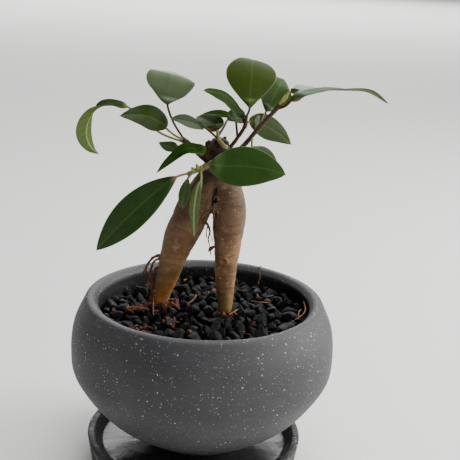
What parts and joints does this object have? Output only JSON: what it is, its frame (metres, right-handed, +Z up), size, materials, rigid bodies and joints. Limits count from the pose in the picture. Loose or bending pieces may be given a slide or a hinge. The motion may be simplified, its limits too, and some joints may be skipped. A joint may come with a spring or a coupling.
{
  "type": "potted bonsai tree",
  "caption": "Small fig bonsai on swollen root legs, growing from dark gravel in a round speckled stoneware bowl that stands on a glazed saucer.",
  "frame": {"origin": "centre of the saucer's flat underside", "axes": "+Z up along the trunk, +X to the right of the front, where the root legs stand side by side, and +Y away from the front"},
  "size_m": [0.1331, 0.12, 0.187],
  "materials": {
    "glazed_saucer": "dark glaze, glossy and wet inside",
    "stoneware": "matte charcoal stoneware with fine pale speckles",
    "plastic_mesh": "dark moulded mesh",
    "soil": "dark crumbly potting soil",
    "gravel": "matte black porous lava stones",
    "bark": "thin grey-brown bark with fine rings",
    "root": "dry reddish-brown rootlets",
    "young_bark": "smooth reddish-brown young bark",
    "green_stem": "smooth pale green stem",
    "bud": "waxy yellow-green bud scales",
    "leaf": "leathery dark green blade with a waxy gloss",
    "leaf_underside": "paler matt underside of the blade"
  },
  "bodies": {
    "root": {"saucer": "glazed_saucer", "pot": "stoneware", "drain_mesh": "plastic_mesh", "potting_soil": "soil", "top_gravel": "gravel", "trunk": "bark", "aerial_root_curly": "root", "aerial_root_thin": "root", "rootlet_crotch": "root", "rootlet_stub": "root", "shoot_left": "young_bark", "shoot_middle": "green_stem", "shoot_top": "young_bark", "shoot_right": "young_bark", "shoot_front": "green_stem", "bud_tip": "bud", "bud_front": "bud", "leaf_far_left": "leaf_underside", "leaf_left_flat": "leaf", "leaf_left_upright": "leaf", "leaf_left_small": "leaf", "leaf_middle_pale": "leaf", "leaf_middle_dark": "leaf", "leaf_back_middle": "leaf", "leaf_back_small": "leaf", "leaf_curved": "leaf", "leaf_top": "leaf", "leaf_top_back": "leaf", "leaf_long_right": "leaf", "leaf_right_back": "leaf", "leaf_right_low": "leaf", "leaf_front": "leaf", "leaf_front_small": "leaf", "leaf_left_arching": "leaf", "leaf_low_left": "leaf", "leaf_hanging_dark": "leaf", "leaf_hanging_pale": "leaf_underside"}
  },
  "joints": []
}
